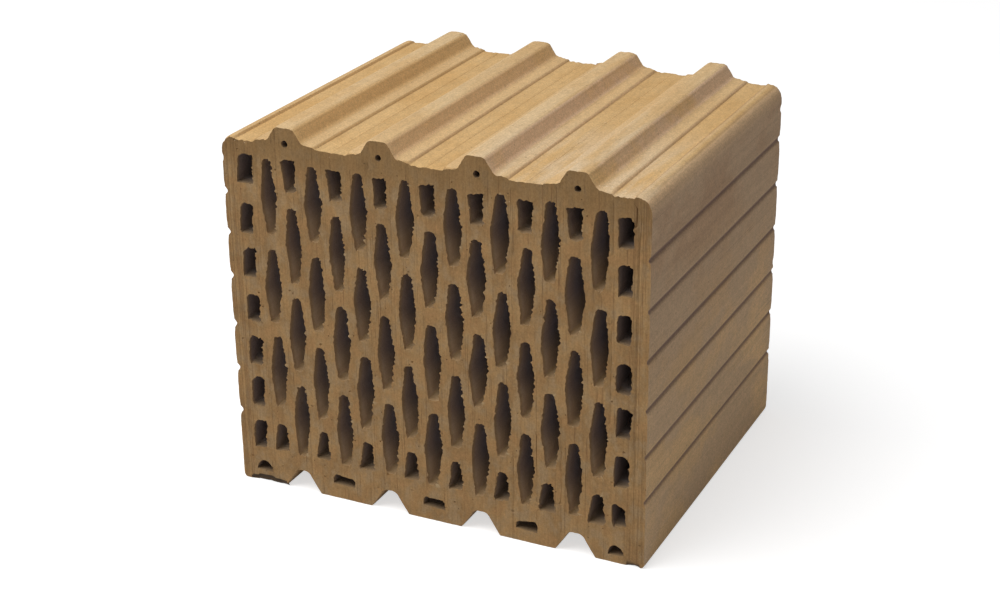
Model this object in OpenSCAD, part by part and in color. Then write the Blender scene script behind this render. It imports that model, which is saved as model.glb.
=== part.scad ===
// Hollow clay block for a single-leaf wall, with tongues on one end face and grooves on the other.
// It lies on its grooved face: X runs through the wall, Y along the perforations, Z from grooves to tongues.
// The origin is at the middle of the footprint, on the floor.

/* [Block] */
// Width between the two outer side faces, which is the wall's thickness
block_w = 300; // [200:1:420]
// Height from the grooved face to the troughs between the tongues
block_h = 250; // [200:1:400]
// Depth between the two cut faces, along the perforations
block_d = 249; // [60:1:330]
// Radius of the two long edges beside the tongues
upper_edge_r = 9.5; // [2:0.5:10]
// Radius of the two long edges beside the grooves
lower_edge_r = 3; // [1:0.5:6]

/* [Tongues] */
// Distance between the centres of two tongues
tongue_pitch = 68; // [60:1:100]
// Width of a tongue where it leaves its shoulder
tongue_base_w = 25; // [22:0.5:30]
// Width of a tongue's top, before its edges are rounded
tongue_top_w = 13; // [10:0.5:16]
// Height of a tongue above its shoulder
tongue_h = 9.5; // [7:0.5:12]
// Radius of a tongue's two upper edges
tongue_edge_r = 4; // [1:0.25:4.5]
// Radius of the hollow where a tongue meets its shoulder
tongue_foot_r = 6; // [1:0.25:8]
// Diameter of the small core hole in a tongue's root
core_hole_d = 4.5; // [3:0.25:6]
// Depth of the core hole's centre below the tongue's foot
core_hole_drop = 2; // [0:0.25:3]

/* [Shoulders and lips] */
// Width of the raised shoulder that carries a tongue
shoulder_w = 46; // [42:1:54]
// Height of the lips, and of a shoulder's outer step, above the troughs
step_h = 2; // [1:0.25:4]
// Slope of these steps, as a run for each millimetre of rise
step_run = 0.75; // [0.25:0.05:1.5]
// Rise of a shoulder from its step to the tongue
shoulder_rise = 1; // [0:0.25:3]
// Width of the lip along each upper edge
lip_w = 12; // [12:0.5:16]

/* [Grooves] */
// Clearance between a tongue's flank and the groove that takes it
groove_clearance = 1.5; // [0.5:0.25:3]
// Room above a tongue's top in the groove
groove_headroom = 5.5; // [1:0.25:7]
// Radius of the groove's crown at its two corners
groove_crown_r = 5.5; // [1:0.25:6]

/* [Perforations] */
// Thickness of the outer walls beside the outermost holes
side_wall = 10.9; // [8:0.1:16]
// Thickness of clay between the uppermost holes and the troughs
upper_wall = 9.6; // [6:0.1:16]
// Thickness of clay between the lowest holes and the grooved face
lower_wall = 26.8; // [24:0.1:40]
// Spacing that the columns of holes come nearest to while filling the width
column_pitch_aim = 16.7; // [15:0.1:24]
// Spacing that the long holes come nearest to while filling the height
row_pitch_aim = 64; // [50:1:100]
// Thickness of the long webs between two columns
long_web = 7.2; // [5:0.1:8]
// Thickness of the cross webs between the ends of two holes
cross_web = 10.4; // [7:0.1:14]
// Radius of a long hole's ends
hole_end_r = 3.4; // [1.5:0.1:4]
// Radius of the corners on the flat end of a short hole
hole_corner_r = 2; // [0.5:0.1:3]
// Width of the holes in the two outermost columns
side_hole_w = 11; // [8:0.5:14]
// Radius of the outer upper corner of those holes
side_hole_shoulder_r = 4.5; // [2:0.25:6]
// Radius of their other corners
side_hole_corner_r = 1.5; // [0.5:0.25:2]

/* [Slots in the grooved end] */
// Width of the flat slots between two grooves
slot_w = 16; // [8:0.5:20]
// Height of the flat slots
slot_h = 5.4; // [4:0.2:7]
// Radius of a flat slot's upper corners
slot_upper_r = 2.7; // [0.5:0.1:3]
// Radius of a flat slot's lower corners
slot_lower_r = 0.8; // [0.2:0.1:1]
// Height of the flat slots above the grooved face
slot_sill = 10.4; // [6:0.2:14]
// Radius of the half-moon slots beside the outermost grooves
moon_r = 5.8; // [3:0.1:7]
// Height of the half-moon slots above the grooved face
moon_sill = 9; // [6:0.2:14]

/* [Key grooves in the side faces] */
// Width of a key groove at the face
key_w = 7; // [4:0.25:8]
// Depth of a key groove
key_depth = 2.5; // [1:0.25:3]

/* [Hidden] */
$fn = 64;

// How far a cut or a root reaches past the face that it starts from
reach = 5;
// A straight side aims at a circle this much smaller than the arc that ends it, so that the two cross
arc_seat = 0.985;

// Tongues: as many as the width takes between its two lips
tongue_count = floor((block_w - shoulder_w - 2 * lip_w) / tongue_pitch) + 1;
tongue_x = [for (i = [0 : tongue_count - 1]) (i - (tongue_count - 1) / 2) * tongue_pitch];
flank_slope = (tongue_base_w - tongue_top_w) / 2 / tongue_h;
tongue_lean = atan(flank_slope);
tongue_foot_z = block_h + step_h + shoulder_rise;
shoulder_flat_w = shoulder_w - 2 * step_h * step_run;
shoulder_slope = atan2(shoulder_rise, (shoulder_flat_w - tongue_base_w) / 2);

// Grooves: the tongue's own flanks, set off by the clearance
groove_mouth_w = tongue_base_w + 2 * groove_clearance;
groove_depth = tongue_h + groove_headroom;

// Columns: an even number of equal steps between the two outermost columns
column_span = block_w - 2 * side_wall - side_hole_w;
column_steps = 2 * round(column_span / column_pitch_aim / 2);
column_pitch = column_span / column_steps;

// Rows: long holes and one short hole, about half as long, fill each column
field_h = block_h - upper_wall - lower_wall;
row_count = max(1, round((field_h + cross_web) / row_pitch_aim - 0.5));
row_pitch = (field_h + cross_web) / (row_count + 0.5);
long_hole_l = row_pitch - cross_web;
short_hole_l = row_pitch / 2 - cross_web;

// The point that lies at a distance and an angle from another
function along(start, distance, angle) = start + distance * [cos(angle), sin(angle)];

// A long hole is widest at its middle, and its flanks run to tangents on its end circles
hole_mid_w = 2 * (column_pitch - long_web - hole_end_r);
end_centre = long_hole_l / 2 - hole_end_r;
end_seat_r = arc_seat * hole_end_r;
hole_lean = atan2(hole_mid_w / 2, end_centre) - asin(end_seat_r / norm([hole_mid_w / 2, end_centre]));
end_tangent = along([0, end_centre], end_seat_r, hole_lean);

// A short hole is the end of a long one, cut off square half a cross web past the middle
cut_z = cross_web / 2;
cut_half_w = hole_mid_w / 2 - cut_z * tan(hole_lean);
cut_seat_r = arc_seat * hole_corner_r;
cut_tangent = cut_seat_r / tan((90 - hole_lean) / 2);

// Key grooves are round channels, and their centres lie outside the face
key_r = (pow(key_w / 2, 2) + pow(key_depth, 2)) / (2 * key_depth);

// A list of points on the right, followed by their mirror images on the left in reverse order
function both_sides(points) =
    concat(points, [for (i = [len(points) - 1 : -1 : 0]) [-points[i][0], points[i][1]]]);

// What rounding takes off a corner at the origin whose sides run along +X and +Y
module corner_waste(r) {
    difference() {
        translate([-reach, -reach]) square(r + reach);
        translate([r, r]) circle(r);
    }
}

// Rectangle that stands on the X axis, with one radius for its lower corners and one for each upper one
module soft_rectangle(w, h, lower_r, upper_left_r, upper_right_r) {
    difference() {
        translate([-w / 2, 0]) square([w, h]);
        translate([-w / 2, 0]) corner_waste(lower_r);
        translate([w / 2, 0]) rotate(90) corner_waste(lower_r);
        translate([w / 2, h]) rotate(180) corner_waste(upper_right_r);
        translate([-w / 2, h]) rotate(270) corner_waste(upper_left_r);
    }
}

// Outline of the block up to the troughs, with a lip along each upper edge
module block_outline() {
    lip_z = block_h + step_h;
    lip_x = block_w / 2 - lip_w;
    difference() {
        polygon(both_sides([
            [block_w / 2, 0],
            [block_w / 2, lip_z],
            [lip_x + step_h * step_run, lip_z],
            [lip_x, block_h],
        ]));
        translate([-block_w / 2, 0]) corner_waste(lower_edge_r);
        translate([block_w / 2, 0]) rotate(90) corner_waste(lower_edge_r);
        translate([block_w / 2, lip_z]) rotate(180) corner_waste(upper_edge_r);
        translate([-block_w / 2, lip_z]) rotate(270) corner_waste(upper_edge_r);
    }
}

// Raised shoulder, from the trough up to the tongue's foot on the X axis
module shoulder() {
    trough_z = block_h - tongue_foot_z;
    polygon(both_sides([
        [shoulder_w / 2, trough_z - reach],
        [shoulder_w / 2, trough_z],
        [shoulder_flat_w / 2, trough_z + step_h],
        [tongue_base_w / 2, 0],
    ]));
}

// Foot of a tongue, where a hollow blends each flank into the shoulder
module tongue_foot() {
    foot = [tongue_base_w / 2, 0];
    flank_angle = 90 + tongue_lean;
    half_angle = (flank_angle + shoulder_slope) / 2;
    seat_r = arc_seat * tongue_foot_r;
    run = seat_r / tan(half_angle);
    centre = along(foot, seat_r / sin(half_angle), flank_angle - half_angle);
    difference() {
        polygon(both_sides([
            along(foot, run, -shoulder_slope),
            along(foot, run, flank_angle),
        ]));
        for (side = [-1, 1]) translate([side * centre[0], centre[1]]) circle(tongue_foot_r);
    }
}

// Ridge with leaning flanks and two rounded edges, its foot on the X axis and a root below it
module ridge(base_w, h, edge_r, root) {
    top_half_w = base_w / 2 - h * flank_slope;
    half_angle = (90 + tongue_lean) / 2;
    r = min(edge_r, top_half_w * tan(half_angle));
    seat_r = arc_seat * r;
    top_z = h - r + seat_r;
    corner = [base_w / 2 - top_z * flank_slope, top_z];
    run = seat_r / tan(half_angle);
    polygon(both_sides([
        [base_w / 2 + root * flank_slope, -root],
        along(corner, run, tongue_lean - 90),
        along(corner, run, 180),
    ]));
    for (side = [-1, 1]) translate([side * (corner[0] - run), h - r]) circle(r);
}

// Tongue, rooted in its shoulder
module tongue() {
    ridge(tongue_base_w, tongue_h, tongue_edge_r, step_h);
    tongue_foot();
}

// Groove, open at the grooved face
module groove() {
    ridge(groove_mouth_w, groove_depth, groove_crown_r, reach);
}

// Long six-sided hole with round ends, centred on the origin
module long_hole() {
    polygon(both_sides([
        [end_tangent[0], -end_tangent[1]],
        [hole_mid_w / 2, 0],
        end_tangent,
    ]));
    for (side = [-1, 1]) translate([0, side * end_centre]) circle(hole_end_r);
}

// Short hole with its flat end on the X axis and its round end up
module short_hole() {
    polygon(both_sides([
        [cut_half_w - cut_tangent, 0],
        along([cut_half_w, 0], cut_tangent, 90 + hole_lean),
        end_tangent - [0, cut_z],
    ]));
    for (side = [-1, 1]) {
        translate([side * (cut_half_w - cut_tangent), cut_seat_r]) circle(hole_corner_r);
    }
    translate([0, end_centre - cut_z]) circle(hole_end_r);
}

// One column of the field: long holes from the top down, and the short hole below them
module hole_column() {
    for (row = [0 : row_count - 1]) {
        translate([0, (field_h - long_hole_l) / 2 - row * row_pitch]) long_hole();
    }
    translate([0, -field_h / 2]) short_hole();
}

// The columns that stagger: every second one stands on its head
module staggered_holes() {
    for (column = [1 : column_steps - 1]) {
        translate([(column - column_steps / 2) * column_pitch, lower_wall + field_h / 2])
            rotate(column % 2 == 1 ? 0 : 180)
            hole_column();
    }
}

// The outermost columns: plain holes with their outer upper corner well rounded
module side_holes() {
    for (side = [-1, 1], row = [0 : 2 * row_count]) {
        left_r = side < 0 ? side_hole_shoulder_r : side_hole_corner_r;
        right_r = side > 0 ? side_hole_shoulder_r : side_hole_corner_r;
        translate([side * column_span / 2, lower_wall + row * row_pitch / 2])
            soft_rectangle(side_hole_w, short_hole_l, side_hole_corner_r, left_r, right_r);
    }
}

// Flat slots between the grooves, and a half-moon beside each outermost groove
module slots() {
    for (i = [1 : 1 : tongue_count - 1]) {
        translate([(tongue_x[i - 1] + tongue_x[i]) / 2, slot_sill])
            soft_rectangle(slot_w, slot_h, slot_lower_r, slot_upper_r, slot_upper_r);
    }
    outer_land = (block_w / 2 + tongue_x[tongue_count - 1] + groove_mouth_w / 2) / 2;
    for (side = [-1, 1]) translate([side * outer_land, moon_sill]) intersection() {
        circle(moon_r);
        translate([-moon_r, 0]) square([2 * moon_r, moon_r]);
    }
}

// Round key grooves in both side faces, opposite the cross webs of the outermost holes
module key_grooves() {
    for (side = [-1, 1], row = [1 : 2 * row_count]) {
        web_z = lower_wall + (row * row_pitch - cross_web) / 2;
        translate([side * (block_w / 2 + key_r - key_depth), web_z]) circle(key_r);
    }
}

// Cross-section of the block, as the die extrudes it
module section() {
    difference() {
        union() {
            block_outline();
            for (x = tongue_x) translate([x, tongue_foot_z]) {
                shoulder();
                tongue();
            }
        }
        for (x = tongue_x) {
            translate([x, 0]) groove();
            translate([x, tongue_foot_z - core_hole_drop]) circle(d = core_hole_d);
        }
        staggered_holes();
        side_holes();
        slots();
        key_grooves();
    }
}

module brick() {
    color("tan") rotate([90, 0, 0]) linear_extrude(block_d, center = true) section();
}

brick();
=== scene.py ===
"""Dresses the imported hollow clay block.

Its section becomes one closed mesh with uneven holes, torn rims, worn edges, pits and chips, in three fired-clay
materials. A pale floor, soft light and the photograph's camera are set round it.
"""

import math
from types import SimpleNamespace

import bpy
import numpy as np
from mathutils import Matrix, Vector
from mathutils.geometry import delaunay_2d_cdt
from mathutils.kdtree import KDTree
from numpy.linalg import norm


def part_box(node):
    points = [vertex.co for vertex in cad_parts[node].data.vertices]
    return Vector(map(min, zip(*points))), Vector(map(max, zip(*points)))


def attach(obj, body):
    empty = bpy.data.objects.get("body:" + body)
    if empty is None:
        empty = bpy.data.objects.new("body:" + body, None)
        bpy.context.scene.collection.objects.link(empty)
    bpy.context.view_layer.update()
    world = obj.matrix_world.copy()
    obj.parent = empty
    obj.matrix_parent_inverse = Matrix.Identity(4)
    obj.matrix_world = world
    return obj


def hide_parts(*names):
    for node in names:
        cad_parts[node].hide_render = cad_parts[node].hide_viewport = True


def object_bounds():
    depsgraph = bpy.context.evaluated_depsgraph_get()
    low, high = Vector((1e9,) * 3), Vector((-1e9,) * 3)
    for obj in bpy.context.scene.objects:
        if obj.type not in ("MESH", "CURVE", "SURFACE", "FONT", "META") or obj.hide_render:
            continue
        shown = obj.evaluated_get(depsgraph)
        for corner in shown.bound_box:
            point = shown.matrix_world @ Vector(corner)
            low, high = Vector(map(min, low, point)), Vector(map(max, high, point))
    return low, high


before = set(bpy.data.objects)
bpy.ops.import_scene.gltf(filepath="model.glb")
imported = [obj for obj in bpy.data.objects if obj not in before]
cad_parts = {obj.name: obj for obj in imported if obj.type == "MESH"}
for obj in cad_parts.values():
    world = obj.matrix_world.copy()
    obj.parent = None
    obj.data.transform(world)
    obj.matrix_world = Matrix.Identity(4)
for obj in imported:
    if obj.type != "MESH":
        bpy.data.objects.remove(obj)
cad_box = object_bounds()

# Shapes are worked out in millimetres, and Blender takes metres
MM = 0.001

# Seeds of the fixed random values
SEED_UNEVEN, SEED_TAIL, SEED_HOLE_SHAPE = 3, 47, 31
SEED_TEAR_FRONT, SEED_TEAR_BACK = 11, 51
SEED_SKIN_WAVE, SEED_HOLE_WAVE = 71, 72
SEED_EDGE, SEED_WANDER, SEED_CHIP = 81, 83, 91
SEED_FACE_FRONT, SEED_FACE_BACK, SEED_SCORE = 5, 6, 23

# A distance and a triangle's area that count as none
FLAT = 0.01
SLIVER_AREA = 1e-4

# The CAD's points that are dropped: nearer than this to the one before, where the outline hardly turns
CROWD_LENGTH = 0.192
CROWD_TURN = math.radians(25)

# Steps along a hole's rim: where it is torn, on its left and on its floor; and the least step
TORN_STEP = 0.55
QUIET_STEP = 1.05
FLOOR_STEP = 0.8
LEAST_STEP = 0.2

# Longest step and sharpest turn deep inside a hole
INNER_STEP = 4.5
INNER_TURN = math.radians(32)

# Steps along the outer outline: on the top, the sides, the lands underneath and elsewhere
TOP_STEP = 0.9
SIDE_STEP = 1.6
LAND_STEP = 1.4
SKIN_STEP = 2.6

# Depths of the rings of points behind a cut face, in the holes and on the skin
RIM_DEPTHS = [0.0, 0.8, 2.4]
INNER_DEPTH = 9.0
SKIN_DEPTHS = [0.0, 0.9, 2.6, 5.5, 10.0]
SKIN_RINGS = 6

# Grid of points in a cut face: its step, the share of it that points stray by, and its distance from the rims
FACE_STEP = 4.0
FACE_STRAY = 0.3
FACE_MARGIN = 1.5

# The kinds of holes: widest core hole, highest slot, shortest long hole, side columns and uppermost holes
CORE_MOST_W = 6.0
SLOT_MOST_Z = 20.0
LONG_LEAST_H = 40.0
SIDE_COLUMN_X = 128.0
UPPER_LEAST_Z = 225.0

# Blunt corners of the long holes: least length of the sides, length of the curve on each, and its points
KINK_SIDE = 12.0
KINK_EASE = 3.0
KINK_POINTS = 5

# Radius of the holes' round ends, and how square they have settled
END_R = 3.4
SQUARE_BELOW = 2.5
SQUARE_ABOVE = 2.3

# How the holes of each kind differ from the die, as a mean and a spread: shift to the right and up, lean of the upper
# half to the right, and sinking of the upper end
UNEVEN = {
    "long": ((0.55, 0.5), (0, 0.3), (0.35, 0.7), (0.9, 0.7)),
    "short": ((-0.1, 0.4), (0.4, 0.4), (0.5, 0.4), (0.4, 0.7)),
    "upper": ((0.4, 0.4), (-1.3, 0.5), (-0.2, 0.4), (0.7, 0.6)),
    "side": ((0, 0.7), (-0.5, 0.4), (0.3, 0.5), (1.2, 1.1)),
    "slot": ((-0.3, 0.5), (-0.5, 0.4), (0, 0.2), (-0.2, 0.3)),
    "core": ((0.5, 0.5), (0, 0.5), (0, 0), (0, 0)),
}

# Spread of the slope of a hole's upper end and floor, of the floor's height, and of the width's share
ROOF_SLOPE = 0.18
FLOOR_SLOPE = 0.10
FLOOR_SHIFT = 0.4
WIDTH_SPREAD = 0.05

# Share by which an uppermost hole's lower end flares, and how far a side hole's upper corners sink
UPPER_FLARE = 0.22
SIDE_CORNER_SINK = 1.8

# Share of the die's width that the holes of each kind have above, and how much is added further down
WIDTHS = {
    "long": (1.05, 0.05), "short": (1.06, 0), "upper": (1.05, 0.19),
    "side": (0.90, 0), "slot": (1, 0), "core": (1, 0),
}

# Holes that have settled more than the others: X and Z of the die's hole, shift to the right and up, share of the
# width and height kept, and slope of the upper end; and how near to X and Z a hole's middle lies
SETTLED = [
    (133.6, 37, -2.2, -2, 0.93, 0.72, -0.30), (133.6, 69, -0.6, -2, 1, 1.04, 0),
    (133.6, 133, 0, -1.6, 1, 1, 0), (-133.6, 197, -0.6, -1.4, 1, 1, 0.1),
    (117, 36, 0, -1.4, 1.1, 1, 0), (83, 36, -1.2, -1.3, 1.1, 1, 0),
    (-117, 86, 0, 1.8, 1, 1, 0), (-33, 54, 0.4, 1.6, 1, 1, 0),
    (-133, 12.5, 0.5, 1, 1, 1.2, 0), (-68, 13.5, -1, 1.6, 1.05, 1.2, 0),
    (0, 13.5, -0.5, 0.4, 1.05, 1.2, 0), (68, 13.5, 0, -0.9, 1, 1.2, 0),
    (133, 12.5, -2, -2.2, 1, 1.2, -0.15), (-133.6, 229, 0.7, 2, 1.2, 1, -0.1),
    (-100.2, 229.6, 0, 1, 1, 1.08, 0),
]
SETTLED_NEAR = 6.0

# How strongly the rims of each kind are torn, and how much shade is painted on their walls and floors, as little light
# reaches them
TORN = {"long": 1, "short": 1, "upper": 1, "side": 0.9, "slot": 0.4, "core": 0.25}
HOLE_SHADE = {"long": 0, "short": 0.55, "upper": 0.5, "side": 0.9, "slot": 0.8, "core": 1}

# Torn edges of the cut faces: how far they reach in, their most, how far the edge is worn back, and the share of their
# depth by which the rings behind it wander
TEAR_REACH = 4.0
TEAR_MOST = 1.2
EDGE_WORN = 0.07
EDGE_WANDER = 0.3

# Noises added up, as a step of the seed, a cell and a height: a rim's teeth and the bulges of a hole's walls
RIM_TEETH = [(0, 0.9, 0.70), (1, 1.7, 1.0), (4, 6.0, 0.3)]
HOLE_BULGES = [(0, 13.0, 0.35), (1, 6.0, 0.25)]

# How rough, burred and nicked a rim is: all round, and more on the right, at the top and at the bottom
RIM_ROUGH = (0.38, 0.24, 0.15, 0.10)
RIM_BURR = (0.6, 0.7, 0.3, 0.2)
RIM_NICK = (0.5, 0.7, 0.4, 0.1)

# The wire's tail at a hole's lower left corner: mean and spread of its length, width, and the share of the hole below
TAIL_MEAN, TAIL_SPREAD = 0.9, 1.1
TAIL_W = 0.7
TAIL_ZONE = 0.25

# How far the block's own edge crumbles, breaks and wears at a cut face: all round, and more along the top
EDGE_CRUMBLED = (0.12, 0.33)
EDGE_JAGGED = (0.12, 0.85)
EDGE_SLOW = (0.08, 0.8)
EDGE_CORNER = (0.5, 0.5)

# The tongues' share of it, how much of a corner breaks off there and on the lands, and a corner's reach
TONGUE_FOOT_Z = 254.0
TONGUE_SHARE = 0.45
TONGUE_CORNER = 0.3
LAND_TOP_Z = 20.0
LAND_CORNER = 0.15
CORNER_REACH = 5.0
CORNER_MOST = 2.0

# Slow waves of the skin and the holes' walls: their height, and their cells across and along the block
SKIN_WAVE = 0.08
HOLE_WAVE = 0.25
WAVE_ACROSS = 22.0
WAVE_ALONG = 60.0

# Key grooves in the side faces: the heights and X that hold them, the X of the flat face, how far their lips are
# rounded, and the step of that
KEY_LOW, KEY_HIGH = 20.0, 236.0
KEY_INSIDE_X = 145.0
KEY_FLAT_X = 149.9
KEY_SOFT = 0.6
KEY_SAMPLE = 0.1

# The same on the left and the right side: the share of the die's width kept, the depth before the lips are rounded,
# and how far the grooves have moved up from the die's heights
KEY_WIDTH_KEPT = {-1: 1.0, 1: 0.80}
KEY_DEPTH = {-1: 2.9, 1: 1.7}
KEY_HEIGHTS = [KEY_LOW, 53, 85, 117, 149, 181, 213, KEY_HIGH]
KEY_MOVES = {
    -1: [0, -0.7, -0.7, 0, 3.6, 2.9, -0.7, 0],
    1: [0, -5.6, -5.5, -5.3, -3.8, -2.3, -0.8, 0],
}

# Fine seams that the die leaves along the top: what they lie above, their places, half width and depth
SEAM_LEAST_Z = 240.0
SEAMS_X = [-67.0, 1.0, 69.0, 140.0]
SEAM_HALF_W = 0.35
SEAM_DEPTH = 0.25

# Steps beside the troughs: between which edges they lie, their two levels, and the share of the die's height kept
STEP_INSIDE_X = 141.0
STEP_TOP_Z, TROUGH_Z = 252.0, 250.0
STEP_KEPT = 0.70

# Chips in the block's edges: middle and radii of the scoop, and how dark the painted shadow in its break is
CHIPS = [
    ((-131, -124.8, -0.5), (13, 2, 5.6), 1),
    ((-119, -124.8, -0.5), (6, 2, 4.8), 1),
    ((151, 125.5, 235), (3.2, 4, 3), 0.2),
    ((151, 125.5, 120), (2.6, 3.2, 4), 0.2),
    ((142.3, -125.2, -0.6), (5.6, 3, 2), 0.9),
    ((-150.8, -125.4, 236), (2.2, 2.6, 4), 0.2),
    ((-56, 126, 251), (5, 4, 3), 0.2),
    ((14, 126, 251), (6.5, 3.4, 2.6), 0.2),
]
CHIP_ROUGH = 0.18
CHIP_CELL = 2.2

# Finer points of the front face round the dark chip: from, to and step in X and Z
CHIP_X = (-146.0, -111.0, 1.3)
CHIP_Z = (1.6, 6.0, 1.3)

# Pits of the front face: X, Z, radius and depth
PITS = [
    (-82.5, 114, 1.1, 1.1), (-143.7, 107, 0.9, 0.8), (-13.7, 114.5, 0.9, 0.9), (-35, 27.3, 1.1, 1.1),
    (-104, 149, 0.9, 0.8), (-101.6, 147.6, 0.8, 0.7), (17.8, 242.8, 0.7, 0.7), (127, 57.8, 1, 0.9),
    (127.6, 60.4, 0.7, 0.7), (-13, 58.7, 0.8, 0.8), (85, 241, 0.8, 0.7), (126, 114.5, 0.8, 0.8),
    (-14.5, 177.5, 0.9, 0.8), (-15.8, 180.5, 0.6, 0.5), (108.3, 234.6, 0.7, 0.7), (-138, 243, 0.7, 0.7),
]

# Rings of points in a pit: how many, and their share of its radius and depth
PIT_RINGS = [(6, 0.6, 0.8), (9, 1.0, 0.0)]

# Small pits on each cut face: how many, and their least radius and depth with what chance adds
PIT_COUNT = 46
PIT_RADIUS = (0.5, 0.7)
PIT_DEPTH = (0.4, 0.8)

# Scores of the front face: X, lower and upper Z, half width and depth; their step, and how they bend
SCORES = [
    (140.3, 233, 245.5, 0.5, 0.9), (125.6, 214, 246, 0.35, 0.25), (-123.3, 216, 245, 0.35, 0.2),
    (125.2, 100, 170, 0.3, 0.25), (74.6, 57, 80, 0.3, 0.35), (74.9, 6, 34, 0.3, 0.3),
    (58.4, 18, 60, 0.3, 0.25), (-41, 244, 248, 0.3, 0.25), (-131.5, 60, 120, 0.3, 0.2),
    (91.9, 14, 95, 0.3, 0.3), (-68.5, 2, 22, 0.3, 0.25), (142.5, 60, 230, 0.3, 0.2),
]
SCORE_STEP = 1.6
SCORE_BEND = 0.25
SCORE_BEND_CELL = 9.0

# How near the face's grid may come to a pit, as a share of its radius, to the chip's points and to a score
PIT_CLEAR = 1.5
CHIP_CLEAR = 1.0
SCORE_CLEAR = 1.2

# Faces of the mesh by material
SKIN, CUT, BORE = range(3)

# Values that the mesh carries at its points: burrs, the painted shade of holes with little light, nearness to a hole's
# floor, which sets painted light, and the painted shadow in breaks
MARKS = ["burr", "hole_shade", "foot", "broken"]

# Edges that turn more than this stay sharp
SHARP_TURN = math.radians(42)

# Where pale crumbs lie on the shoulder beside the last tongue
CRUMB_SPOT = (0.121, -0.117, 0.253)

# Light: the room's even glow, the lamp, and the floor's half width and what it sends back
ROOM_GLOW = 0.28
LAMP_WATTS = 68.5
LAMP_SIZE = 2.4
LAMP_PLACE = (-0.86, -0.94, 2.50)
LAMP_AIM = (0.0, 0.0, 0.15)
FLOOR_HALF = 5.0
FLOOR_GREY = 0.60
FLOOR_GLOW = 0.62

# Camera, fitted to the photograph
CAMERA_PLACE = (0.51872, -1.10049, 0.63842)
CAMERA_FORWARD = (-0.39738, 0.82734, -0.39700)
CAMERA_UP = (-0.16249, 0.36234, 0.91777)
CAMERA_LENS = 68.12
CAMERA_SENSOR = 36.0
CAMERA_FAR = 50.0


# ---- Noise ----

def scatter(cells, seed):
    """A fixed random value from -1 to 1 for each whole-numbered cell."""
    code = np.full(len(cells), seed * 7919 + 17, np.uint64)
    for column in np.asarray(cells, np.int64).T:
        code = (code ^ column.astype(np.uint64)) * np.uint64(0x9E3779B97F4A7C15)
        code ^= code >> np.uint64(29)
    return (code >> np.uint64(11)).astype(float) / 2.0 ** 52 - 1.0


def noise(points, seed):
    """Smooth noise from -1 to 1, at points measured in cells of its lattice."""
    points = np.asarray(points, float)
    low = np.floor(points).astype(np.int64)
    part = points - low
    part = part * part * (3.0 - 2.0 * part)
    total = np.zeros(len(points))
    for corner in np.ndindex(*(2,) * points.shape[1]):
        share = np.prod(np.where(corner, part, 1.0 - part), axis=1)
        total += share * scatter(low + corner, seed)
    return total


def layered(points, seed, layers):
    """Noises added up, each given as a step of the seed, a cell and a height."""
    return sum(height * noise(points / cell, seed + step) for step, cell, height in layers)


def peaks(values, start):
    """Keeps only what rises above a start value, scaled to run from 0 to 1."""
    return np.clip((values - start) / (1.0 - start), 0.0, 1.0)


# ---- Outlines of the section ----

def section_loops(node):
    """The closed outlines of the node's front face in X and Z, with the clay on the left of each."""
    mesh = node.data
    mesh.calc_loop_triangles()
    points = np.array([v.co for v in mesh.vertices]) / MM
    at_front = points[:, 1] < points[:, 1].min() + FLAT
    spot = np.round(points[:, [0, 2]], 3)
    following = {}
    for triangle in mesh.loop_triangles:
        corners = list(triangle.vertices)
        if all(at_front[c] for c in corners):
            spots = [tuple(spot[c]) for c in corners]
            for a, b in zip(spots, spots[1:] + spots[:1]):
                if a in following.get(b, ()):
                    following[b].remove(a)
                else:
                    following.setdefault(a, []).append(b)
    loops = []
    while any(following.values()):
        loop = [min(a for a, ends in following.items() if ends)]
        while (after := following[loop[-1]].pop()) != loop[0]:
            loop.append(after)
        loops.append(np.array(loop))
    return loops


def area(loop):
    """Signed area inside a loop."""
    x, z = loop.T
    return 0.5 * np.sum(x * np.roll(z, -1) - z * np.roll(x, -1))


def turn_between(a, b):
    """Angle between two sides that follow each other."""
    return abs(math.atan2(a[0] * b[1] - a[1] * b[0], a @ b))


def thin_out(loop):
    """Drops points that crowd a straight run or a gentle curve."""
    kept = [loop[0]]
    for i in range(1, len(loop)):
        before, here, after = kept[-1], loop[i], loop[(i + 1) % len(loop)]
        crowded = norm(here - before) < CROWD_LENGTH
        if not (crowded and turn_between(here - before, after - here) < CROWD_TURN):
            kept.append(here)
    return np.array(kept)


def ease_kinks(loop):
    """Bends the blunt corners between two long sides into short curves."""
    points = []
    for i, here in enumerate(loop):
        back, on = loop[i - 1] - here, loop[(i + 1) % len(loop)] - here
        if min(norm(back), norm(on)) < KINK_SIDE:
            points.append(here)
            continue
        start = here + back / norm(back) * KINK_EASE
        end = here + on / norm(on) * KINK_EASE
        for t in np.linspace(0.0, 1.0, KINK_POINTS):
            points.append((1 - t) ** 2 * start + 2 * t * (1 - t) * here + t * t * end)
    return np.array(points)


def subdivide(loop, step_for):
    """Splits each side into steps whose length depends on the way that the side faces."""
    points = []
    for here, after in zip(loop, np.roll(loop, -1, axis=0)):
        side = after - here
        length = norm(side)
        count = max(1, round(length / step_for(side[1] / length, -side[0] / length)))
        points += [here + side * k / count for k in range(count)]
    return np.array(points)


def hole_step(nx, nz):
    """Fine steps where a hole's rim is torn, on its right and along its top, and on its floor."""
    if nx < -0.3 or nz < -0.6:
        return TORN_STEP
    return FLOOR_STEP if nz > 0.5 else QUIET_STEP


def skin_step(nx, nz):
    """Fine steps along the tongues and troughs, coarser ones on the other sides."""
    if nz > 0.25:
        return TOP_STEP
    if nz < -0.95:
        return LAND_STEP
    return SIDE_STEP if abs(nx) > 0.95 else SKIN_STEP


def spaced(loop):
    """Drops points that settling has brought too near to the ones before them."""
    return loop[norm(loop - np.roll(loop, 1, axis=0), axis=1) > LEAST_STEP]


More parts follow.
